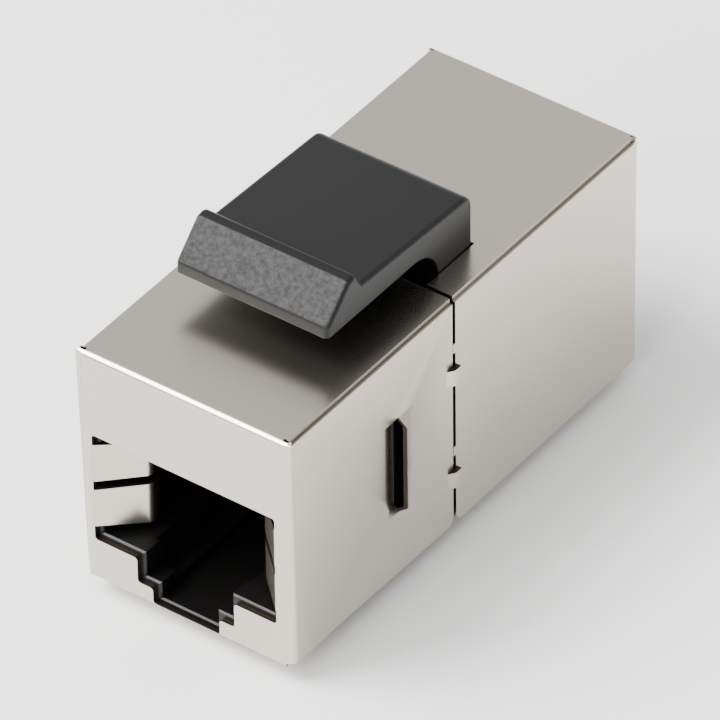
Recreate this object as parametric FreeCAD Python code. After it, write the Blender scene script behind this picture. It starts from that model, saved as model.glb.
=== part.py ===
import FreeCAD, Part
import math
import os

# Shielded RJ45 in-line coupler for a keystone panel opening: two sockets back to back, joined by a
# small circuit board, in two plastic housings inside two folded-sheet half shells.
#
# Frame: millimetres, +Z up (snap latch on top), the front socket opens to -Y, X runs across.
# Every piece is drawn in a working frame whose Z = 0 is the underside of the shell and whose Y is
# the depth behind the outer face of its own port plate. The rear pieces are turned half a turn about Z.

V = FreeCAD.Vector

# ---- body ----
body_width = 14.5
body_height = 16.14
body_length = 33.9

# ---- folded sheet ----
sheet = 0.3
bend_radius = 0.8             # outside of the folds at the sides and top of a port plate
low_bend_radius = 0.45        # outside of the fold under the socket
seam_start = 0.5              # depth at which the open lines beside the flanges begin
seam_hole = 0.3               # length of the relief hole at the start of an open line
seam_skin = 0.1               # sheet left between that hole and the side of the shell
front_shell_depth = 15.6
shell_gap = 0.27              # open line between the two half shells
front_edge_gap = 0.17         # open line beside the top and bottom flanges of the front shell
rear_edge_gap = 0.08
low_corner_cut = (1.3, 0.3)   # length and height cut off the lower front corner of a side flange
seam_corner_cut = 0.4         # chamfer of the lower corner of a side flange at the joint

# ---- socket, to the usual 8-way plug, with the plastic round it ----
side_wall = 0.9               # plastic beside the socket
roof_web = 0.6                # plastic between the socket and the board chamber
port_floor = 3.40
step_half_width = 3.02
step_floor = 1.68
tab_half_width = 1.96
tab_floor = 0.58
port_depth = 13.4
lining = 0.36                 # plastic that shows inside the opening in the sheet
opening_corner = 0.22
lead_in = 0.35                # chamfer round the mouth of the plastic
tab_lip_depth = 1.7           # the plug's tab hooks behind this lip
tab_pocket_depth = 9.6
tab_pocket_half_width = 3.3
tab_pocket_floor = 1.2

# ---- shield leaves folded in from the sides of the opening, two on each side ----
leaf_above_floor = 0.57       # from the socket's floor to the lower leaf
leaf_below_roof = 0.39        # from the upper leaf to the socket's roof
leaf_spacing = 0.62           # between the two leaves
leaf_root_out = 0.1           # length of the root that lies in the port plate
leaf_root_bend = 0.2
leaf_reach = 2.05             # how far the apex stands in from the edge of the opening
leaf_apex_depth = 2.4
leaf_apex_bend = 0.55
leaf_tail_depth = 6.4
leaf_space = 0.12             # room above, below and outside the leaves in the housing wall
leaf_room_behind = 0.6        # room behind their tails

# ---- lance in each side of the front shell: a cut with its front lip in and its rear lip out ----
lance_cut = 10.42
lance_bottom = 4.5
lance_height = 6.85
lance_out = 0.6               # how far the rear lip stands proud
lance_in = 0.5                # how far the front lip is sunk, to hook the housing
lance_end = 0.5               # height over which each end slopes
lance_run = 1.35              # length over which a lip runs back to the flange
lance_room = 0.1              # round the sunk lip, which bears only on the rear of its pocket

# ---- tongues across the joint of the half shells ----
tongue_pitch = 7.47
bridge_bottom = 2.92
bridge_height = 1.1
bridge_start = 0.5            # length of front flange that the bridge's root takes up
bridge_root = 0.3
bridge_step = 0.4             # length over which it steps out onto the rear shell
bridge_bend = 0.2
bridge_slit = 0.06            # between its sides and the flange
bridge_lap = 0.16             # how far it lies on the rear shell
key_bottom = 4.95
key_height = 0.65
key_root = 0.5
key_clearance = 0.05

# ---- housings, each bearing on the back of its port plate and on the other ----
housing_fit = 0.08            # between a housing and the flanges round it
low_chamfer = 0.15            # clears the inside of the fold under the socket
joint_depth = 16.8            # depth of the front housing's rear end
top_wall = 1.41               # plastic over the board chamber
chamber_height = 3.47
chamber_wall = 0.77           # plastic beside the board chamber
chamber_front = 2.6
spigot_half_width = 3.5
spigot_bottom = 3.0
spigot_height = 5.0
spigot_length = 1.5
spigot_fit = 0.08

# ---- fixed catch under the front housing ----
catch_half_width = 5.0
catch_front = 7.9
catch_length = 2.0
catch_drop = 1.2
catch_ramp = 0.7
catch_fit = 0.12

# ---- snap latch: heights are above the underside of its arm ----
latch_half_width = 5.26
latch_root_front = 17.05
latch_root_rear = 20.36
latch_rise = 2.35             # from the shell to the underside of the arm
latch_tip = 6.6
latch_lip = 0.95              # height of the upright lip at the tip
latch_lip_lean = 0.05
latch_bevel_top = (8.65, 2.75)  # depth and height
latch_ridge_rear = (9.35, 2.85)
latch_ridge_foot = (9.82, 1.9)
latch_thickness = 1.45        # at the root
latch_root_radius = 2.25
latch_rear_radius = 0.85
latch_ridge_radius = 0.34
latch_foot_radius = 0.2
latch_edge_radius = 0.32      # along the side edges of the arm and root
latch_slot_fit = 0.06         # between the root and the slot in the sheet
foot_half_width = 5.9
foot_front = 16.95
foot_rear = 21.6
foot_thickness = 0.9
foot_fit = 0.08               # round and under the foot, whose top bears on the sheet

# ---- contacts, board and carriers ----
contact_count = 8
contact_pitch = 1.016
contact_width = 0.42
contact_thickness = 0.3
contact_loop_front = 3.45
contact_loop_radius = 0.55
contact_slope = 25.0          # degrees below the horizontal, falling to the rear
contact_tip_depth = 10.6
contact_bend = 0.45
pin_depths = (11.9, 13.7)     # the solder pins stand in two rows
pin_above_board = 0.7
contact_window_half_width = 4.5
contact_window = (3.0, 11.6)
board_headroom = 0.9          # over the board
board_thickness = 1.0
board_side_fit = 0.2
board_end_depth = 9.6
board_hole_radius = 0.36
carrier_side_fit = 0.15
carrier_front = 4.4
carrier_rear = 14.7
groove_width = 0.6

past = 1.0                    # how far a cutting tool runs past what it cuts
nudge = 0.01                  # least overlap of two pieces of one solid
same_place = 1e-6

half_width = body_width / 2
flange_inside = half_width - sheet
rear_shell_depth = body_length - front_shell_depth - shell_gap
housing_half_width = flange_inside - housing_fit
housing_chamfer = bend_radius - sheet
housing_floor = sheet + housing_fit
housing_top = body_height - sheet - housing_fit
port_half_width = housing_half_width - side_wall
chamber_half_width = housing_half_width - chamber_wall
chamber_roof = housing_top - top_wall
chamber_floor = chamber_roof - chamber_height
port_roof = chamber_floor - roof_web
leaf_bottom = port_floor + leaf_above_floor
leaf_height = (port_roof - leaf_below_roof - leaf_bottom - leaf_spacing) / 2
latch_under = body_height + latch_rise
foot_top = body_height - sheet
board_bottom = chamber_roof - board_headroom - board_thickness
contact_level = chamber_floor + contact_thickness / 2


def box(x0, x1, y0, y1, z0, z1):
    """Block between two corners."""
    return Part.makeBox(x1 - x0, y1 - y0, z1 - z0, V(x0, y0, z0))


def both_sides(shape):
    """The shape and its mirror image in the middle plane X = 0."""
    return [shape, shape.mirror(V(0, 0, 0), V(1, 0, 0))]


def rounding(before, point, after, radius):
    """Start, middle and end of the arc that rounds a corner of a path."""
    back = (before - point).normalize()
    on = (after - point).normalize()
    half = back.getAngle(on) / 2
    inward = (back + on).normalize()
    reach = radius / math.tan(half)
    middle = point + inward * (radius / math.sin(half) - radius)
    return point + back * reach, middle, point + on * reach


def outline(points, radii):
    """Closed wire through the points, each corner rounded by its own radius (0 keeps it sharp)."""
    arcs = []
    for i, point in enumerate(points):
        if radii[i]:
            arcs.append(rounding(points[i - 1], point, points[(i + 1) % len(points)], radii[i]))
        else:
            arcs.append((point, None, point))
    edges = []
    for i, (start, middle, end) in enumerate(arcs):
        if middle:
            edges.append(Part.Arc(start, middle, end).toShape())
        edges.append(Part.LineSegment(end, arcs[(i + 1) % len(arcs)][0]).toShape())
    return Part.Wire(edges)


def ribbon(points, radii, thickness):
    """Face of a strip of even thickness, centred on a path whose inner corners are rounded."""
    headings = [(b - a).normalize() for a, b in zip(points, points[1:])]
    lefts = [V(-h.y, h.x, 0) for h in headings]
    turns = [rounding(*points[i:i + 3], radius) for i, radius in enumerate(radii)]

    def side(shift):
        first = points[0] + lefts[0] * shift
        last = points[-1] + lefts[-1] * shift
        here = first
        edges = []
        for i, (start, middle, end) in enumerate(turns):
            across = (lefts[i] + lefts[i + 1]).normalize()
            stops = [start + lefts[i] * shift, middle + across * shift, end + lefts[i + 1] * shift]
            edges += [Part.LineSegment(here, stops[0]).toShape(), Part.Arc(*stops).toShape()]
            here = stops[2]
        edges.append(Part.LineSegment(here, last).toShape())
        return edges, first, last

    left, left_first, left_last = side(thickness / 2)
    right, right_first, right_last = side(-thickness / 2)
    caps = [Part.LineSegment(left_first, right_first).toShape(),
            Part.LineSegment(left_last, right_last).toShape()]
    return Part.Face(Part.Wire(Part.__sortEdges__(left + right + caps)))


def polygon(points):
    """Face with straight sides through (x, y) points."""
    corners = [V(x, y, 0) for x, y in points]
    return Part.Face(Part.makePolygon(corners + corners[:1]))


def along_z(face, z0, z1):
    """Prism of a face drawn in X and Y, between two heights."""
    prism = face.extrude(V(0, 0, z1 - z0))
    prism.translate(V(0, 0, z0))
    return prism


def along_x(face, x0, x1):
    """Prism of a face whose drawn X and Y are the part's Y and Z, between two places across."""
    prism = face.extrude(V(0, 0, x1 - x0))
    prism.Placement = FreeCAD.Placement(V(x0, 0, 0), FreeCAD.Rotation(V(1, 1, 1), 120))
    return prism


def along_y(face, y0, y1):
    """Prism of a face whose drawn X and Y are the part's X and Z, between two depths."""
    prism = face.extrude(V(0, 0, y0 - y1))
    prism.Placement = FreeCAD.Placement(V(0, y0, 0), FreeCAD.Rotation(V(1, 0, 0), 90))
    return prism


def edges_where(solid, test):
    """Edges whose middle point passes the test."""
    return [e for e in solid.Edges if test(e.valueAt((e.FirstParameter + e.LastParameter) / 2))]


def front_edges(block, depth, floor):
    """Edges round the front face of a block: the lowest one, at the floor, and the other three."""
    around = edges_where(block, lambda p: abs(p.y - depth) < same_place)
    low = [e for e in around if e.BoundBox.ZMax < floor + same_place]
    return low, [e for e in around if e.BoundBox.ZMax > floor + same_place]


def port_outline(grow, radius):
    """Stepped outline of the socket, grown on every side: plug body, tab step and tab channel."""
    right = [(tab_half_width + grow, tab_floor - grow), (tab_half_width + grow, step_floor - grow),
             (step_half_width + grow, step_floor - grow), (step_half_width + grow, port_floor - grow),
             (port_half_width + grow, port_floor - grow), (port_half_width + grow, port_roof + grow)]
    points = [V(x, z, 0) for x, z in right] + [V(-x, z, 0) for x, z in reversed(right)]
    return outline(points, [radius] * len(points))


def wedge(x, rise, y0, y1, z0, z1, end):
    """Bulge on the plane at x: open end of height rise at y0, running out to nothing at y1."""
    a, b, c, d = V(x, y0, z0), V(x, y1, z0), V(x, y1, z1), V(x, y0, z1)
    low, high = V(x + rise, y0, z0 + end), V(x + rise, y0, z1 - end)
    sides = [(a, b, c, d), (a, low, high, d), (low, b, c, high), (a, b, low), (d, high, c)]
    faces = [Part.Face(Part.makePolygon(list(points) + [points[0]])) for points in sides]
    solid = Part.Solid(Part.Shell(faces))
    if solid.Volume < 0:
        solid.reverse()
    return solid


def leaf_rows():
    """Bottom and top of the two leaves on a side."""
    bottoms = [leaf_bottom, leaf_bottom + leaf_height + leaf_spacing]
    return [(bottom, bottom + leaf_height) for bottom in bottoms]


def leaves():
    """Spring leaves folded back from the side edges of the opening in the port plate."""
    edge = port_half_width + lining
    middle = sheet / 2
    path = [V(edge + leaf_root_out, middle, 0), V(edge, middle, 0),
            V(edge - leaf_reach, leaf_apex_depth, 0),
            V(flange_inside - leaf_space - middle, leaf_tail_depth, 0)]
    face = ribbon(path, [leaf_root_bend, leaf_apex_bend], sheet)
    blades = []
    for bottom, top in leaf_rows():
        blades += both_sides(along_z(face, bottom, top))
    return blades


def folded_block(inset, back):
    """Block the size of the shell less an inset, its four edges round the port plate rounded."""
    side = half_width - inset
    block = box(-side, side, inset, back, inset, body_height - inset)
    tall = box(-side, side, inset, back, inset - past, body_height - inset)
    low = front_edges(block, inset, inset)[0]
    others = front_edges(tall, inset, inset - past)[1]
    return tall.makeFillet(bend_radius - inset, others).common(block.makeFillet(low_bend_radius - inset, low))


def upside_down(shape):
    """The shape mirrored from the bottom of the shell to its top."""
    return shape.mirror(V(0, 0, body_height / 2), V(0, 0, 1))


def half_shell(depth, edge_gap):
    """Port plate with four flanges folded back from it, the edges between the flanges open."""
    shell = folded_block(0, depth).cut(folded_block(sheet, depth + past))
    cuts = [along_y(Part.Face(port_outline(lining, opening_corner)), -past, sheet)]
    open_edge = box(flange_inside - edge_gap, flange_inside, seam_start, depth + past, -past, sheet)
    hole = box(flange_inside - edge_gap, half_width - seam_skin, seam_start, seam_start + seam_hole,
               -past, sheet)
    for cut in (open_edge, hole):
        cuts += both_sides(cut) + both_sides(upside_down(cut))
    length, height = low_corner_cut
    front = [(-past, -past), (length, -past), (length, 0), (0, height), (-past, height)]
    rear = [(depth + past, -past), (depth - seam_corner_cut, -past), (depth - seam_corner_cut, 0),
            (depth, seam_corner_cut), (depth + past, seam_corner_cut)]
    for corner in (front, rear):
        cuts += both_sides(along_x(polygon(corner), flange_inside - edge_gap / 2, half_width + past))
    return shell.cut(cuts).fuse(leaves())


def latch_slot(front, rear):
    """Cutter for the slot in a top flange that the latch's root stands in."""
    side = latch_half_width + latch_slot_fit
    return box(-side, side, front, rear, foot_top - past, body_height + past)


def foot_pocket(front, rear):
    """Cutter for the room that the latch's foot has in a housing, under the sheet."""
    side = foot_half_width + foot_fit
    return box(-side, side, front, rear, foot_top - foot_thickness - foot_fit, foot_top + past)


def tongue_rows(bottom, height):
    """Bottom and top of the two like tongues on a side."""
    return [(bottom + i * tongue_pitch, bottom + height + i * tongue_pitch) for i in range(2)]


def lance_face(x, rise, run):
    """One face of a lance lip, as the wedge between it and the flange's plane at x."""
    return wedge(x, rise, lance_cut, lance_cut + run, lance_bottom, lance_bottom + lance_height, lance_end)


def bridge():
    """Tongue in plan: it steps out of the front flange and lies on the outside of the rear shell."""
    inner = half_width - sheet / 2
    outer = half_width + sheet / 2
    start = front_shell_depth - bridge_start
    path = [V(inner, start - bridge_root, 0), V(inner, start, 0), V(outer, start + bridge_step, 0),
            V(outer, front_shell_depth + shell_gap + bridge_lap, 0)]
    return ribbon(path, [bridge_bend, bridge_bend], sheet)


def front_shell():
    """Half shell with a lance in each side, a window for the fixed catch and the bridge tongues."""
    shell = half_shell(front_shell_depth, front_edge_gap)
    raised = [(half_width, lance_out, lance_run), (flange_inside, -lance_in, -lance_run)]
    hollowed = [(flange_inside, lance_out, lance_run), (half_width, -lance_in, -lance_run)]
    for face in raised:
        shell = shell.fuse(both_sides(lance_face(*face)))
    for face in hollowed:
        shell = shell.cut(both_sides(lance_face(*face)))
    window_side = catch_half_width + catch_fit
    shell = shell.cut([
        box(-window_side, window_side, catch_front - catch_fit, catch_front + catch_length + catch_fit,
            -past, sheet + past),
        latch_slot(latch_root_front - latch_slot_fit, latch_root_rear + latch_slot_fit)])
    for z0, z1 in tongue_rows(bridge_bottom, bridge_height):
        hole = box(flange_inside - nudge, half_width + nudge, front_shell_depth - bridge_start,
                   front_shell_depth + past, z0 - bridge_slit, z1 + bridge_slit)
        shell = shell.cut(both_sides(hole)).fuse(both_sides(along_z(bridge(), z0, z1)))
    return shell.removeSplitter()


def rear_shell():
    """Half shell with a slot for the latch and the flush keys that reach the front shell."""
    slot_end = body_length - latch_root_rear - latch_slot_fit
    shell = half_shell(rear_shell_depth, rear_edge_gap)
    shell = shell.cut(latch_slot(slot_end, rear_shell_depth + past))
    reach = rear_shell_depth + shell_gap - key_clearance
    for z0, z1 in tongue_rows(key_bottom, key_height):
        key = box(flange_inside, half_width, rear_shell_depth - key_root, reach, z0, z1)
        shell = shell.fuse(both_sides(key))
    return shell.removeSplitter()


def outline_at(grow, depth):
    """The socket's outline as a sharp wire, grown, at a depth."""
    wire = port_outline(grow, 0)
    wire.Placement = FreeCAD.Placement(V(0, depth, 0), FreeCAD.Rotation(V(1, 0, 0), 90))
    return wire


def housing(depth):
    """Socket block: plug cavity with its tab channel, side windows for the leaves, board chamber."""
    body = box(-housing_half_width, housing_half_width, sheet, depth, housing_floor, housing_top)
    body = body.makeChamfer(housing_chamfer, front_edges(body, sheet, housing_floor)[1])
    body = body.makeChamfer(low_chamfer, front_edges(body, sheet, housing_floor)[0])
    cavity = along_y(Part.Face(port_outline(0, 0)), sheet - nudge, port_depth)
    mouth = Part.makeLoft([outline_at(lead_in, sheet - nudge), outline_at(0, sheet + lead_in)], True)
    tab_pocket = box(-tab_pocket_half_width, tab_pocket_half_width, tab_lip_depth, tab_pocket_depth,
                     tab_pocket_floor, port_floor + nudge)
    leaf_window = box(-half_width, half_width, sheet - past, leaf_tail_depth + leaf_room_behind,
                      leaf_rows()[0][0] - leaf_space, leaf_rows()[-1][1] + leaf_space)
    chamber = box(-chamber_half_width, chamber_half_width, chamber_front, depth + past,
                  chamber_floor, chamber_roof)
    front, rear = contact_window
    opening = box(-contact_window_half_width, contact_window_half_width, front, rear,
                  port_roof - nudge, chamber_floor + nudge)
    return body.cut([cavity, mouth, tab_pocket, leaf_window, chamber, opening])


def front_housing():
    """Housing with the fixed catch underneath and the spigot that finds the rear housing."""
    root = housing_floor + nudge
    rear = catch_front + catch_length
    catch = polygon([(catch_front, root), (catch_front, catch_ramp - catch_drop),
                     (catch_front + catch_ramp, -catch_drop), (rear, -catch_drop), (rear, root)])
    spigot = box(-spigot_half_width, spigot_half_width, joint_depth - nudge, joint_depth + spigot_length,
                 spigot_bottom, spigot_bottom + spigot_height)
    lance_pocket = box(flange_inside - lance_in - lance_room, half_width,
                       lance_cut - lance_run - lance_room, lance_cut,
                       lance_bottom - lance_room, lance_bottom + lance_height + lance_room)
    solid = housing(joint_depth).fuse([along_x(catch, -catch_half_width, catch_half_width), spigot])
    pocket = foot_pocket(foot_front - foot_fit, foot_rear + foot_fit)
    return solid.cut(both_sides(lance_pocket) + [pocket]).removeSplitter()


def rear_housing():
    """Housing with the pocket for the latch foot and the socket for the spigot."""
    depth = body_length - joint_depth
    side = spigot_half_width + spigot_fit
    socket = box(-side, side, depth - spigot_length - spigot_fit, depth + past,
                 spigot_bottom - spigot_fit, spigot_bottom + spigot_height + spigot_fit)
    return housing(depth).cut([foot_pocket(body_length - foot_rear - foot_fit, depth + past), socket])


def latch():
    """Snap latch: foot held under the sheet, root, and the arm with its catch ridge and bevel."""
    root = foot_top - foot_thickness / 2 - latch_under
    profile = [(latch_root_rear, root, 0), (latch_root_rear, latch_thickness, latch_rear_radius),
               (*latch_ridge_foot, latch_foot_radius), (*latch_ridge_rear, latch_ridge_radius),
               (*latch_bevel_top, latch_ridge_radius),
               (latch_tip + latch_lip_lean, latch_lip, latch_ridge_radius),
               (latch_tip, 0, 0), (latch_root_front, 0, latch_root_radius),
               (latch_root_front, root, 0)]
    wire = outline([V(y, latch_under + z, 0) for y, z, radius in profile],
                   [radius for y, z, radius in profile])
    arm = along_x(Part.Face(wire), -latch_half_width, latch_half_width)
    arm = arm.makeFillet(latch_edge_radius, edges_where(arm, lambda p: (
        latch_half_width - abs(p.x) < same_place
        and (p.z > latch_under + same_place or p.y > latch_root_rear - same_place))))
    foot = box(-foot_half_width, foot_half_width, foot_front, foot_rear,
               foot_top - foot_thickness, foot_top)
    return arm.fuse(foot).removeSplitter()


def contact(x, pin_depth):
    """Contact wire: solder pin, run along the cavity roof, loop at the mouth and sloping spring."""
    slope = math.radians(contact_slope)
    swing = (contact_loop_radius / math.sin(slope / 2) - contact_loop_radius) * math.cos(slope / 2)
    corner = V(contact_loop_front + contact_thickness / 2 - swing, contact_level, 0)
    fall = (contact_tip_depth - corner.x) * math.tan(slope)
    path = [V(pin_depth, board_bottom + board_thickness + pin_above_board, 0),
            V(pin_depth, contact_level, 0), corner,
            V(contact_tip_depth, contact_level - fall, 0)]
    face = ribbon(path, [contact_bend, contact_loop_radius], contact_thickness)
    return along_x(face, x - contact_width / 2, x + contact_width / 2)


def contact_places():
    """Place across and pin depth of each contact, the pins alternating between the two rows."""
    first = -(contact_count - 1) / 2 * contact_pitch
    return [(first + i * contact_pitch, pin_depths[i % 2]) for i in range(contact_count)]


def carrier():
    """Block under the board that holds one row of contacts down in grooves on the chamber's floor."""
    side = chamber_half_width - carrier_side_fit
    block = box(-side, side, carrier_front, carrier_rear, chamber_floor, board_bottom)
    room = groove_width / 2
    cuts = []
    for x, depth in contact_places():
        cuts.append(box(x - room, x + room, carrier_front - past, depth + room,
                        chamber_floor - past, chamber_floor + contact_thickness))
        cuts.append(box(x - room, x + room, depth - contact_bend, depth + room,
                        chamber_floor - past, board_bottom + past))
    return block.cut(cuts)


def turned(shape):
    """A piece of the rear end, from its own depth to the part's depth behind the front plate."""
    piece = shape.copy()
    piece.rotate(V(0, 0, 0), V(0, 0, 1), 180)
    piece.translate(V(0, body_length, 0))
    return piece


def circuit_board():
    """Board with a plated hole for every solder pin."""
    side = chamber_half_width - board_side_fit
    board = box(-side, side, board_end_depth, body_length - board_end_depth,
                board_bottom, board_bottom + board_thickness)
    holes = [Part.makeCylinder(board_hole_radius, board_thickness + 2 * past, V(x, y, board_bottom - past))
             for x, y in contact_places()]
    return board.cut(holes + [turned(hole) for hole in holes])


def main():
    os.makedirs("parts", exist_ok=True)
    pieces = {
        "front_shell": front_shell(),
        "rear_shell": turned(rear_shell()),
        "front_housing": front_housing(),
        "rear_housing": turned(rear_housing()),
        "latch": latch(),
        "front_contact_carrier": carrier(),
        "rear_contact_carrier": turned(carrier()),
        "circuit_board": circuit_board(),
    }
    for number, (x, depth) in enumerate(contact_places(), 1):
        pieces[f"front_contact_{number}"] = contact(x, depth)
        pieces[f"rear_contact_{number}"] = turned(contact(x, depth))
    for name, shape in pieces.items():
        shape.translate(V(0, -body_length / 2, catch_drop))
        shape.exportStep(f"parts/{name}.step")


main()
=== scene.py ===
import math

import bmesh
import bpy
import numpy as np
from mathutils import Matrix, Vector


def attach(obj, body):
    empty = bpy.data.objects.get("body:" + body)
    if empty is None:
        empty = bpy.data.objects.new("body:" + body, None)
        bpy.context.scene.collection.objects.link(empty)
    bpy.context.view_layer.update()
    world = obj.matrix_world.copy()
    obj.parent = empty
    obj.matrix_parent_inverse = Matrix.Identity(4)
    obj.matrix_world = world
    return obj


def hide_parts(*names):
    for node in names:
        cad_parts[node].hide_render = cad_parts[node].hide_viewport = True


# Shielded RJ45 in-line coupler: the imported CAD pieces, welded, edge-softened and finished.
# Metres, +Z up, the front socket opens to -Y, the snap latch is on top.

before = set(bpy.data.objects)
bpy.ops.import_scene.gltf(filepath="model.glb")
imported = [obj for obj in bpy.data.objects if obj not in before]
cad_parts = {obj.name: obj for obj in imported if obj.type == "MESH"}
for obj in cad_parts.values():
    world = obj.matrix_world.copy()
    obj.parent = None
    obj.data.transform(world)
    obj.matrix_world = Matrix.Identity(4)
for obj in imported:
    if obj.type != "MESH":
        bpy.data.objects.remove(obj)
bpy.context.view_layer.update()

MM = 0.001
ROOT = "root"

# ---- camera ----
camera_turn = math.radians(36.563)      # from -Y towards +X
camera_rise = math.radians(39.373)
camera_roll = math.radians(-0.785)
camera_distance = 555.3 * MM
camera_lens = 491.68                    # mm on a 36 mm sensor
camera_target = Vector((0.835, -1.405, 10.223)) * MM

# ---- edges ----
weld = 0.001 * MM                       # packed corners closer than this are one
flat_angle = math.radians(1.0)          # neighbours closer than this are one face
crease_angle = math.radians(30.0)       # folds turn less than this from facet to facet
cut_angle = math.radians(60.0)          # a cut face meets the skin of the sheet more sharply than this
strip_slack = 1.05                      # a patch up to this much wider than the sheet is a cut edge
end_facing = 0.5                        # share of a normal along Y above which a face looks out of an end
sheet_bevel = 0.035 * MM
plastic_bevel = 0.06 * MM
bevel_steps = 2
sheet_thickness = 0.3 * MM

# ---- the shells as shown: closer folds, a top flange that lies over the side flanges ----
packed_fold = 0.8 * MM                  # outside radius at the sides and top of a port plate
low_fold = 0.45 * MM                    # outside radius under the socket
shown_fold = 0.45 * MM
top_rise = 0.22 * MM                    # how far the top flange stands above its packed place
seam_start = 0.49 * MM                  # from the port plate to where the top flange's edges step out
seam_step = 0.02 * MM                   # length of that step
flange_edge = 6.7 * MM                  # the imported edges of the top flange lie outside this
flange_reach = 7.06 * MM                # half width of the top flange
side_inside = 6.95 * MM                 # inner face of a side flange
side_drop = 0.33 * MM                   # how far the side flanges stop below the top
near = 0.01 * MM                        # slack when a packed point is recognised by its place
cut_slack = weld / 10                   # points this near to a cutting plane lie on it

# ---- the leaves and the socket's mouth as shown ----
apex_depth = 2.4 * MM                   # from the port plate to where a leaf reaches in furthest
tail_depth = 6.4 * MM
apex_shift = 0.33 * MM                  # how much further in it reaches
slot_growth = 0.07 * MM                 # how far each leaf draws back from the slot between them
top_cut = 0.22 * MM                     # how much lower the top of the upper leaf lies
mouth_shift = 0.23 * MM                 # by how much the chamfer round the mouth is narrower
chamfer_lean = (0.6, 0.8)               # share along Y of the normals of its faces

# ---- the latch's tip as shown ----
bevel_run = 2.05 * MM                   # from the tip to the top of the thumb bevel, along Y
lip_drop = 0.22 * MM                    # how much lower the bevel starts
lip_foot = 0.4 * MM                     # height above the underside up to which the tip stays as packed
grain_forward, grain_up = 0.42, 0.5     # least shares of a grained face's normal towards -Y and +Z
grain_aside = 0.5                       # and the greatest along X


# ---------------------------------------------------------------- node helpers

class Nodes:
    """Short way to place and join shader nodes in one tree."""

    def __init__(self, tree):
        self.tree = tree

    def add(self, kind, **settings):
        """A node of a kind; settings are its properties, and socket values when given as dicts."""
        node = self.tree.nodes.new(kind)
        for key, value in settings.items():
            if key == "inputs":
                for socket, number in value.items():
                    node.inputs[socket].default_value = number
            else:
                setattr(node, key, value)
        return node

    def join(self, source, target):
        self.tree.links.new(source, target)

    def math(self, operation, a, b=None):
        """Result of a Math node on one or two sockets or numbers."""
        node = self.add("ShaderNodeMath", operation=operation)
        for i, value in enumerate((a, b)):
            if value is None:
                continue
            if isinstance(value, (int, float)):
                node.inputs[i].default_value = value
            else:
                self.join(value, node.inputs[i])
        return node.outputs[0]

    def noise(self, vector, scale, detail=2.0, roughness=0.5):
        """Value of a noise pattern from 0 to 1; scale is in cells per metre of the vector."""
        node = self.add("ShaderNodeTexNoise", inputs={"Scale": scale, "Detail": detail,
                                                      "Roughness": roughness})
        self.join(vector, node.inputs["Vector"])
        return node.outputs["Fac"]

    def stretch(self, vector, scale):
        """The vector scaled along its axes."""
        node = self.add("ShaderNodeMapping")
        node.inputs["Scale"].default_value = scale
        self.join(vector, node.inputs["Vector"])
        return node.outputs["Vector"]

    def remap(self, value, low, high, to_low, to_high, smooth=True):
        """The value moved from one range to another, clamped at both ends."""
        node = self.add("ShaderNodeMapRange",
                        interpolation_type="SMOOTHSTEP" if smooth else "LINEAR",
                        inputs={"From Min": low, "From Max": high, "To Min": to_low, "To Max": to_high})
        self.join(value, node.inputs["Value"])
        return node.outputs["Result"]

    def mix(self, factor, a, b):
        """Colour between two colours or sockets."""
        node = self.add("ShaderNodeMix", data_type="RGBA")
        for socket, value in ((node.inputs["Factor"], factor), (node.inputs[6], a), (node.inputs[7], b)):
            if isinstance(value, (tuple, list)):
                socket.default_value = (*value, 1.0)
            elif isinstance(value, (int, float)):
                socket.default_value = value
            else:
                self.join(value, socket)
        return node.outputs[2]


def new_group(name, inputs, outputs):
    """Empty node group with named float or vector sockets, as (tree, nodes, input, output)."""
    tree = bpy.data.node_groups.new(name, "ShaderNodeTree")
    kinds = {"float": "NodeSocketFloat", "vector": "NodeSocketVector"}
    for label, kind, value in inputs:
        socket = tree.interface.new_socket(label, in_out="INPUT", socket_type=kinds[kind])
        if value is not None:
            socket.default_value = value
    for label, kind in outputs:
        tree.interface.new_socket(label, in_out="OUTPUT", socket_type=kinds[kind])
    nodes = Nodes(tree)
    return tree, nodes, nodes.add("NodeGroupInput"), nodes.add("NodeGroupOutput")


def mottle_group():
    """Uneven tone: a wide cloud and a fine speckle about 1, for colour and roughness alike."""
    tree, nodes, given, result = new_group(
        "uneven_tone",
        [("Vector", "vector", None), ("Cloud Size", "float", 250.0), ("Speckle Size", "float", 4000.0),
         ("Cloud", "float", 0.1), ("Speckle", "float", 0.05)],
        [("Factor", "float")])
    cloud = nodes.add("ShaderNodeTexNoise", inputs={"Detail": 3.0})
    speckle = nodes.add("ShaderNodeTexNoise", inputs={"Detail": 2.0})
    for node, size in ((cloud, "Cloud Size"), (speckle, "Speckle Size")):
        nodes.join(given.outputs["Vector"], node.inputs["Vector"])
        nodes.join(given.outputs[size], node.inputs["Scale"])
    wide = nodes.math("MULTIPLY", nodes.math("SUBTRACT", cloud.outputs["Fac"], 0.5), given.outputs["Cloud"])
    fine = nodes.math("MULTIPLY", nodes.math("SUBTRACT", speckle.outputs["Fac"], 0.5),
                      given.outputs["Speckle"])
    total = nodes.math("ADD", nodes.math("ADD", wide, fine), 1.0)
    nodes.join(total, result.inputs["Factor"])
    return tree


MOTTLE = mottle_group()


def new_material(name, **constants):
    """Material with a Principled shader whose fixed values are set on its own sockets."""
    material = bpy.data.materials.new(name)
    material.use_nodes = True
    nodes = Nodes(material.node_tree)
    shader = material.node_tree.nodes["Principled BSDF"]
    for socket, value in constants.items():
        shader.inputs[socket.replace("_", " ")].default_value = value
    place = nodes.add("ShaderNodeTexCoord").outputs["Object"]
    return material, nodes, shader, place


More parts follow.
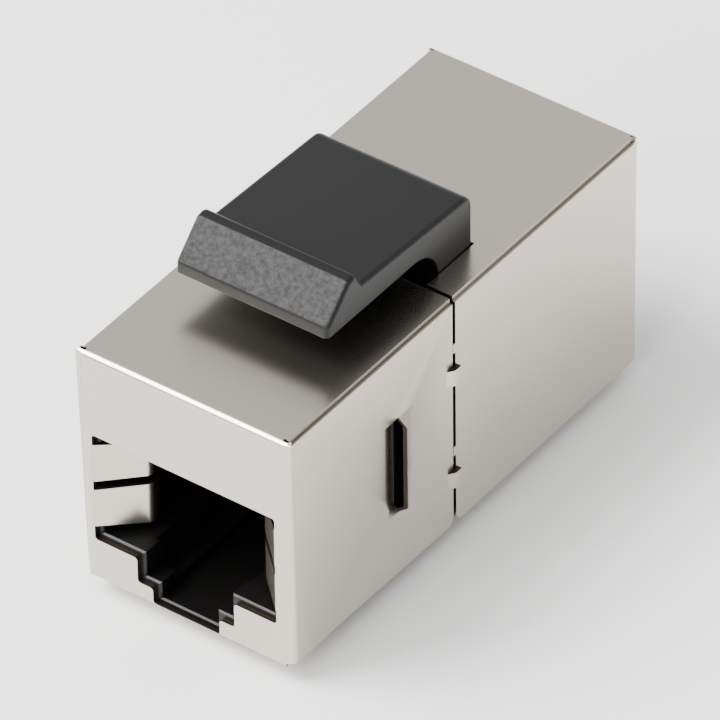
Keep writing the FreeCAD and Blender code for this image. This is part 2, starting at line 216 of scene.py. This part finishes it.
def mottle(nodes, place, cloud_size, speckle_size, cloud, speckle):
    """Factor about 1 from the shared uneven-tone group."""
    node = nodes.add("ShaderNodeGroup", node_tree=MOTTLE,
                     inputs={"Cloud Size": cloud_size, "Speckle Size": speckle_size,
                             "Cloud": cloud, "Speckle": speckle})
    nodes.join(place, node.inputs["Vector"])
    return node.outputs["Factor"]


def tinted(nodes, colour, factor):
    """A colour multiplied by a factor socket."""
    node = nodes.add("ShaderNodeVectorMath", operation="SCALE")
    node.inputs[0].default_value = colour
    nodes.join(factor, node.inputs["Scale"])
    return node.outputs[0]


# ---------------------------------------------------------------- finishes

noise_low, noise_high = 0.3, 0.7        # nearly all of a noise pattern lies between these
nickel_colour = (0.54, 0.502, 0.446)
nickel_rough = 0.26
# Cut-edge colour: bare steel darkened further as painted shade of the seam gap and the lance's mouth.
sheared_and_shade_colour = (0.06, 0.048, 0.036)
sheared_rough = 0.2                     # by how much a cut edge is rougher
front_seam_cut_and_painted = 0.5                  # share of the dark cut-edge colour on the front shell's seam edges: less than elsewhere as a painted highlight, more than on the rear as a painted reflection of the latch
rear_seam_cut_and_painted = 0.2                   # and on the rear shell's seam edges, smaller again as a painted highlight
socket_colour = (0.003, 0.0028, 0.0028)
carrier_colour = (0.02, 0.02, 0.021)
skin_relief = 0.02 * MM                 # depth of the fine skin of the sockets and carriers
latch_colour = (0.003, 0.003, 0.0036)
latch_relief = 0.002 * MM
grain_colour = (0.022, 0.0215, 0.022)
grain_size = 3300.0                     # cells per metre
grain_relief = 0.07 * MM
grain_rough = 0.25                      # by how much the grain is rougher
grain_reach = 5.15 * MM                 # from the middle to where the grain is half gone
grain_fade = 0.12 * MM                  # on each side of that place
gold_colour = (0.86, 0.60, 0.22)
gold_rough = 0.22
mask_dark, mask_light = (0.008, 0.075, 0.03), (0.016, 0.12, 0.05)
weave_size = 2600.0


def nickel_sheet():
    """Nickel over rolled steel: soft blurred mirror; dark cut edges, partly bare steel and partly painted
    shade of the seam gap and the lance's mouth.
    """
    material, nodes, shader, place = new_material("nickel_sheet", Metallic=1.0)
    tone = mottle(nodes, place, cloud_size=160.0, speckle_size=3000.0, cloud=0.04, speckle=0.0)
    plated = tinted(nodes, nickel_colour, tone)
    # Cut-edge faces take the dark colour, partly bare steel and partly painted shade.
    edge = nodes.add("ShaderNodeAttribute", attribute_name="sheared_and_shade").outputs["Fac"]
    nodes.join(nodes.mix(edge, plated, sheared_and_shade_colour), shader.inputs["Base Color"])

    satin = nodes.math("MULTIPLY", tone, nickel_rough)
    rougher = nodes.math("MULTIPLY", edge, sheared_rough)
    nodes.join(nodes.math("ADD", satin, rougher), shader.inputs["Roughness"])
    return material


def plastic(name, colour, skin_size, smoothest, roughest, bump_share, ior):
    """Black moulded plastic with a fine skin between two values of roughness."""
    material, nodes, shader, place = new_material(name, IOR=ior)
    tone = mottle(nodes, place, cloud_size=300.0, speckle_size=skin_size, cloud=0.12, speckle=0.2)
    nodes.join(tinted(nodes, colour, tone), shader.inputs["Base Color"])
    skin = nodes.noise(place, skin_size)
    nodes.join(nodes.remap(skin, noise_low, noise_high, smoothest, roughest), shader.inputs["Roughness"])
    bump = nodes.add("ShaderNodeBump", inputs={"Strength": bump_share, "Distance": skin_relief})
    nodes.join(skin, bump.inputs["Height"])
    nodes.join(bump.outputs["Normal"], shader.inputs["Normal"])
    return material


def latch_plastic():
    """Black satin plastic; the thumb bevel has a coarse spark-eroded grain that fades out at its ends."""
    material, nodes, shader, place = new_material("latch_plastic", IOR=1.36)
    fine_size = 7000.0
    fine = nodes.noise(place, fine_size)
    coarse = nodes.noise(place, grain_size, detail=2.5, roughness=0.65)
    across = nodes.add("ShaderNodeSeparateXYZ")
    nodes.join(place, across.inputs[0])
    reach = nodes.math("ABSOLUTE", across.outputs["X"])
    inside = nodes.remap(reach, grain_reach - grain_fade, grain_reach + grain_fade, 1.0, 0.0)
    marked = nodes.add("ShaderNodeAttribute", attribute_name="grained").outputs["Fac"]
    rough = nodes.math("MULTIPLY", marked, inside)

    darkest, lightest = 0.4, 1.7
    speckle = nodes.remap(coarse, noise_low, noise_high, darkest, lightest, smooth=False)
    tone = mottle(nodes, place, cloud_size=300.0, speckle_size=fine_size, cloud=0.12, speckle=0.15)
    smooth_black = tinted(nodes, latch_colour, tone)
    grained_black = tinted(nodes, grain_colour, speckle)
    nodes.join(nodes.mix(rough, smooth_black, grained_black), shader.inputs["Base Color"])
    smoothest, roughest = 0.36, 0.42
    satin = nodes.remap(fine, noise_low, noise_high, smoothest, roughest)
    rougher = nodes.math("MULTIPLY", rough, grain_rough)
    nodes.join(nodes.math("ADD", satin, rougher), shader.inputs["Roughness"])

    relief = nodes.math("MULTIPLY", nodes.math("MULTIPLY", coarse, rough), grain_relief)
    height = nodes.math("ADD", relief, nodes.math("MULTIPLY", fine, latch_relief))
    bump = nodes.add("ShaderNodeBump", inputs={"Strength": 1.0, "Distance": 1.0})
    nodes.join(height, bump.inputs["Height"])
    nodes.join(bump.outputs["Normal"], shader.inputs["Normal"])
    return material


def gold_wire():
    """Gold over nickel on bronze wire."""
    material, nodes, shader, place = new_material("contact_gold", Metallic=1.0)
    tone = mottle(nodes, place, cloud_size=900.0, speckle_size=9000.0, cloud=0.12, speckle=0.08)
    nodes.join(tinted(nodes, gold_colour, tone), shader.inputs["Base Color"])
    nodes.join(nodes.math("MULTIPLY", tone, gold_rough), shader.inputs["Roughness"])
    return material


def board_mask():
    """Green solder mask over the glass weave."""
    material, nodes, shader, place = new_material("board_mask", Coat_Weight=0.5)
    flattened = nodes.stretch(place, (1.0, 1.0, 0.1))
    weave = nodes.noise(flattened, weave_size, detail=1.0)
    nodes.join(nodes.mix(weave, mask_dark, mask_light), shader.inputs["Base Color"])
    smoothest, roughest = 0.3, 0.42
    nodes.join(nodes.remap(weave, noise_low, noise_high, smoothest, roughest), shader.inputs["Roughness"])
    return material


# ---------------------------------------------------------------- pieces

def port_end(skin):
    """Place of the port plate along Y and the direction, 1 or -1, in which it faces."""
    end = max((vert.co.y for vert in skin.verts), key=abs)
    return end, math.copysign(1.0, end)


def widest_and_top(skin):
    """Widest X behind the folds and the top of a shell; the front shell is widest at its lances."""
    end, way = port_end(skin)
    widest = max(vert.co.x for vert in skin.verts if (end - vert.co.y) * way > packed_fold)
    return widest, max(vert.co.z for vert in skin.verts)


def on_arc(run, depth, radius):
    """True for a point on the inside or outside of a fold about its own centre."""
    reach = math.hypot(radius - run, radius - depth)
    return any(abs(reach - skin) < near for skin in (radius, radius - sheet_thickness))


def closer(run, depth):
    """Run from an edge and depth behind the plate of a point on a packed fold, on the shown fold."""
    across, back = packed_fold - run, packed_fold - depth
    reach = math.hypot(across, back)
    scale = (reach - packed_fold + shown_fold) / reach
    return shown_fold - across * scale, shown_fold - back * scale


def close_folds(skin):
    """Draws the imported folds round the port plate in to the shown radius, mitred where they meet.

    Runs are counted from the widest point. Known fault: on the front shell that is a lance, so its side
    folds stay as packed, and one point by each top corner moves out instead of in.
    """
    end, way = port_end(skin)
    widest, top = widest_and_top(skin)
    floor = min(vert.co.z for vert in skin.verts)
    for vert in skin.verts:
        depth = (end - vert.co.y) * way
        if depth > packed_fold + near:
            continue
        run, fall, rise = widest - abs(vert.co.x), top - vert.co.z, vert.co.z - floor
        if run < packed_fold + near and on_arc(run, depth, packed_fold):
            new_run, new_depth = closer(run, depth)
            vert.co.x = math.copysign(widest - new_run, vert.co.x)
            vert.co.y = end - way * new_depth
            if rise < low_fold + near and on_arc(rise, depth, low_fold):
                vert.co.z = floor + new_run
        if fall < packed_fold + near and on_arc(fall, depth, packed_fold):
            new_fall, new_depth = closer(fall, depth)
            vert.co.z = top - new_fall
            vert.co.y = end - way * new_depth


def raise_top(skin):
    """Lifts the top flange and its fold."""
    top = max(vert.co.z for vert in skin.verts)
    for vert in skin.verts:
        if vert.co.z > top - shown_fold - near:
            vert.co.z += top_rise


def overlap_top(skin):
    """Carries the top flange over the side flanges: its edges move out and theirs stop under it."""
    end, way = port_end(skin)
    top = max(vert.co.z for vert in skin.verts)
    for depth in (seam_start - seam_step, seam_start):
        everything = [*skin.verts, *skin.edges, *skin.faces]
        bmesh.ops.bisect_plane(skin, geom=everything, plane_co=(0.0, end - way * depth, 0.0),
                               plane_no=(0.0, 1.0, 0.0), dist=cut_slack)
    for vert in skin.verts:
        side, fall = abs(vert.co.x), top - vert.co.z
        depth = (end - vert.co.y) * way
        if depth < seam_start - cut_slack or fall > sheet_thickness + near:
            continue
        if flange_edge < side < side_inside - near:
            vert.co.x = math.copysign(flange_reach, vert.co.x)
        elif side > side_inside - near and fall < near:
            vert.co.z = top - side_drop


def set_leaves(skin):
    """Brings the leaves further in, with a wider slot between them and more room above.

    Known fault: on the front shell, where runs are counted from the lances, the points of the low corners
    are taken for leaves. They move by less than 0.2 mm, the slot moves up instead of growing, and the lower
    leaf grows down as well.
    """
    end, way = port_end(skin)
    widest, top = widest_and_top(skin)
    blades = []
    for vert in skin.verts:
        depth, run = (end - vert.co.y) * way, widest - abs(vert.co.x)
        behind = sheet_thickness + near < depth < tail_depth + sheet_thickness
        between = run > sheet_thickness + near and packed_fold < vert.co.z < top - packed_fold
        off_fold = run > packed_fold + near or depth > packed_fold + near
        if behind and between and off_fold:
            blades.append((vert, depth))
    low, high = min(vert.co.z for vert, _ in blades), max(vert.co.z for vert, _ in blades)
    middle = (low + high) / 2
    for vert, depth in blades:
        if depth < apex_depth:
            share = depth / apex_depth
        else:
            share = max(0.0, (tail_depth - depth) / (tail_depth - apex_depth))
        vert.co.x -= math.copysign(apex_shift * share, vert.co.x)
        if vert.co.z > high - near:
            vert.co.z -= top_cut
        elif vert.co.z > low + near:
            vert.co.z += math.copysign(slot_growth, vert.co.z - middle)


def narrow_mouth(skin):
    """Makes the chamfer round the socket's mouth narrower, from both of its edges.

    Known fault: at the foot of the tab channel the chamfer is cut short, and its two points there end
    0.08 mm in front of the housing.
    """
    end, way = port_end(skin)
    middle = max(vert.co.z for vert in skin.verts) / 2
    leans = {}
    for face in skin.faces:
        place, normal = face.calc_center_median(), face.normal
        lean = Vector((normal.x, 0.0, normal.z))
        inward = place.x * normal.x < near and (middle - place.z) * normal.z > -near
        leaning = chamfer_lean[0] < normal.y * way < chamfer_lean[1]
        if leaning and inward and (end - place.y) * way < 2 * sheet_thickness:
            for vert in face.verts:
                leans.setdefault(vert, []).append(lean.normalized())
    for vert, normals in leans.items():
        if (end - vert.co.y) * way > near:
            vert.co.y += way * mouth_shift
        else:
            total = normals[0] + normals[-1]
            vert.co += total * (mouth_shift / (1.0 + normals[0].dot(normals[-1])))


def lower_bevel(skin):
    """Starts the latch's thumb bevel lower, above a thinner lip; the bevel stays flat."""
    tip = min(vert.co.y for vert in skin.verts)
    under = min(vert.co.z for vert in skin.verts if vert.co.y < tip + bevel_run)
    for vert in skin.verts:
        run = vert.co.y - tip
        if run < bevel_run and vert.co.z > under + lip_foot:
            vert.co.z -= lip_drop * (1.0 - run / bevel_run)


def shape_shell(skin):
    """Brings a packed half shell to the form it is shown in."""
    set_leaves(skin)
    close_folds(skin)
    raise_top(skin)
    overlap_top(skin)


def sheared_and_shade_faces(skin):
    """Faces of the cut edges: patches with sharp borders that are no wider than the sheet is thick, each
    with its share of the dark cut-edge colour, which is partly painted shade.
    """
    end, way = port_end(skin)
    top = max(vert.co.z for vert in skin.verts)
    seam_cut_and_painted = front_seam_cut_and_painted if way < 0.0 else rear_seam_cut_and_painted
    found, seen = [], set()
    for start in skin.faces:
        if start in seen:
            continue
        seen.add(start)
        patch, border, queue = [], 0.0, [start]
        while queue:
            face = queue.pop()
            patch.append(face)
            for edge in face.edges:
                if edge.calc_face_angle(math.pi) > cut_angle:
                    border += edge.calc_length()
                    continue
                for other in edge.link_faces:
                    if other not in seen:
                        seen.add(other)
                        queue.append(other)
        strip_area = sheet_thickness * border / 2
        if sum(face.calc_area() for face in patch) < strip_area * strip_slack:
            for face in patch:
                middle = face.calc_center_median()
                # Seam cut edges take a smaller share of the dark colour as a painted highlight, and the
                # front shell's a larger one than the rear's as a painted reflection of the latch.
                at_seam = (abs(middle.x) > flange_edge and top - middle.z < 2 * side_drop
                           and abs(face.normal.y) < end_facing)
                found.append((face, seam_cut_and_painted if at_seam else 1.0))
    return found


def grained_faces(skin):
    """The thumb bevel of the latch, which faces forwards and up, and the start of its rounded rim."""
    return [(face, 1.0) for face in skin.faces
            if face.normal.y < -grain_forward and face.normal.z > grain_up
            and abs(face.normal.x) < grain_aside]


def dressed(node, name, material, bevel, mark=None, pick=None, reshape=None):
    """Copy of a CAD node, welded into one skin with its sharp edges softened, that stands for it.

    reshape changes the welded skin. The faces that pick returns, with their strengths, keep them in a face
    attribute named mark.
    """
    skin = bmesh.new()
    skin.from_mesh(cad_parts[node].data)
    bmesh.ops.remove_doubles(skin, verts=skin.verts, dist=weld)
    bmesh.ops.dissolve_limit(skin, angle_limit=flat_angle, verts=skin.verts, edges=skin.edges)
    if reshape:
        reshape(skin)
    for face in skin.faces:
        face.smooth = True
        face.material_index = 0
    for edge in skin.edges:
        edge.smooth = edge.calc_face_angle(0.0) < crease_angle
    if mark:
        layer = skin.faces.layers.float.new(mark)
        for face, strength in pick(skin):
            face[layer] = strength
    mesh = bpy.data.meshes.new(name)
    skin.to_mesh(mesh)
    skin.free()
    if "custom_normal" in mesh.attributes:
        mesh.attributes.remove(mesh.attributes["custom_normal"])
    mesh.materials.clear()
    mesh.materials.append(material)
    piece = bpy.data.objects.new(name, mesh)
    bpy.context.scene.collection.objects.link(piece)
    soften = piece.modifiers.new("soft_edges", "BEVEL")
    soften.width = bevel
    soften.segments = bevel_steps
    soften.limit_method = "ANGLE"
    soften.angle_limit = crease_angle
    soften.harden_normals = True
    soften.use_clamp_overlap = True
    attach(piece, ROOT)
    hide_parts(node)
    return piece


def refinish(node, material):
    """A CAD node that keeps its own mesh and gets its finish."""
    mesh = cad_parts[node].data
    mesh.materials.clear()
    mesh.materials.append(material)


def build_pieces():
    nickel = nickel_sheet()
    socket = plastic("socket_plastic", socket_colour, skin_size=9000.0, smoothest=0.28, roughest=0.37,
                     bump_share=0.1, ior=1.33)
    for end in ("front", "rear"):
        # The shells' cut-edge faces are marked for the dark colour, which is partly painted shade.
        dressed(f"{end}_shell", f"{end}_shell_sheet", nickel, sheet_bevel,
                "sheared_and_shade", sheared_and_shade_faces, shape_shell)
        dressed(f"{end}_housing", f"{end}_housing_moulding", socket, plastic_bevel,
                reshape=narrow_mouth)
    dressed("latch", "latch_moulding", latch_plastic(), plastic_bevel,
            "grained", grained_faces, lower_bevel)
    gold = gold_wire()
    carrier = plastic("carrier_plastic", carrier_colour, skin_size=8000.0, smoothest=0.46, roughest=0.55,
                      bump_share=0.2, ior=1.5)
    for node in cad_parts:
        if "_contact_carrier" in node:
            refinish(node, carrier)
        elif "_contact_" in node:
            refinish(node, gold)
    refinish("circuit_board", board_mask())


# ---------------------------------------------------------------- studio

floor_colour = (0.9, 0.9, 0.895)
sky_colour = (1.0, 1.0, 1.0, 1.0)
sky_strength = 1.08
light_target = Vector((0.0, 0.0, 0.01))


def aimed(location, target, roll=0.0):
    """Matrix of something at a place that looks at another, its top up, rolled about its view."""
    back = (location - target).normalized()
    right = Vector((0.0, 0.0, 1.0)).cross(back).normalized()
    up = back.cross(right)
    turn = Matrix((right, up, back)).transposed().to_4x4()
    return Matrix.Translation(location) @ turn @ Matrix.Rotation(roll, 4, "Z")


def add_camera():
    data = bpy.data.cameras.new("camera")
    data.lens = camera_lens
    data.sensor_width = 36.0
    data.clip_start = 0.01
    data.clip_end = 10.0
    camera = bpy.data.objects.new("camera", data)
    bpy.context.scene.collection.objects.link(camera)
    back = Vector((math.sin(camera_turn) * math.cos(camera_rise),
                   -math.cos(camera_turn) * math.cos(camera_rise), math.sin(camera_rise)))
    camera.matrix_world = aimed(camera_target + back * camera_distance, camera_target, camera_roll)
    bpy.context.scene.camera = camera


def add_softbox(name, turn, rise, distance, size, power, colour):
    """Square area light aimed at the part from a bearing and a height angle."""
    data = bpy.data.lights.new(name, "AREA")
    data.shape = "RECTANGLE"
    data.size, data.size_y = size
    data.energy = power
    data.color = colour
    light = bpy.data.objects.new(name, data)
    bpy.context.scene.collection.objects.link(light)
    turn, rise = math.radians(turn), math.radians(rise)
    out = Vector((math.sin(turn) * math.cos(rise), -math.cos(turn) * math.cos(rise), math.sin(rise)))
    light.matrix_world = aimed(out * distance, light_target)


def add_floor():
    """Pale matt floor, a flat disc far wider than the part, its rim at equal angles about the origin."""
    radius, steps = 1.5, 96
    angle = np.linspace(0.0, 2 * np.pi, steps, endpoint=False)
    rim = np.stack([radius * np.cos(angle), radius * np.sin(angle), np.zeros(steps)], axis=1)
    mesh = bpy.data.meshes.new("floor")
    mesh.from_pydata(rim.tolist(), [], [tuple(range(steps))])
    floor = bpy.data.objects.new("floor", mesh)
    bpy.context.scene.collection.objects.link(floor)
    material, nodes, shader, place = new_material("floor_paper", Roughness=0.9)
    paper = mottle(nodes, place, cloud_size=20.0, speckle_size=400.0, cloud=0.02, speckle=0.01)
    nodes.join(tinted(nodes, floor_colour, paper), shader.inputs["Base Color"])
    mesh.materials.append(material)


def add_studio():
    add_camera()
    add_floor()
    add_softbox("key", turn=-50.0, rise=52.0, distance=0.8, size=(0.45, 0.45), power=16.5,
                colour=(1.0, 0.985, 0.965))
    add_softbox("fill", turn=0.0, rise=30.0, distance=0.8, size=(0.45, 0.45), power=5.5,
                colour=(1.0, 0.99, 0.97))
    world = bpy.data.worlds.new("studio")
    world.use_nodes = True
    sky = world.node_tree.nodes["Background"]
    sky.inputs["Color"].default_value = sky_colour
    sky.inputs["Strength"].default_value = sky_strength
    bpy.context.scene.world = world


build_pieces()
add_studio()
